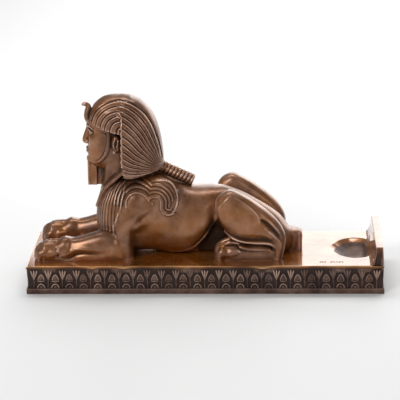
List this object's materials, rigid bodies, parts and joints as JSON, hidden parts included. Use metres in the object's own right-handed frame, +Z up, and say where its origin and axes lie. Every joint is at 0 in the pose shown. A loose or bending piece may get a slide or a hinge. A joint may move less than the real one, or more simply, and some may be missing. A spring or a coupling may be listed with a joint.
{
  "type": "sphinx statue",
  "caption": "Recumbent bronze sphinx with striped headdress on a long plinth with a carved frieze, a low end wall and a shallow hollow.",
  "frame": {"origin": "middle of the plinth's underside", "axes": "+X along the plinth towards its end wall, away from the sphinx's head; +Y towards the sphinx's right side; +Z up"},
  "size_m": [0.3, 0.1, 0.1605],
  "materials": {
    "sphinx_bronze": "cast bronze, warm brown patina, polished by handling, with near-black recesses",
    "plinth_bronze": "cast bronze, polished brown top, duller grey-brown carved sides with lighter worn edges"
  },
  "bodies": {
    "root": {"sphinx": "sphinx_bronze", "plinth": "plinth_bronze"}
  },
  "joints": []
}
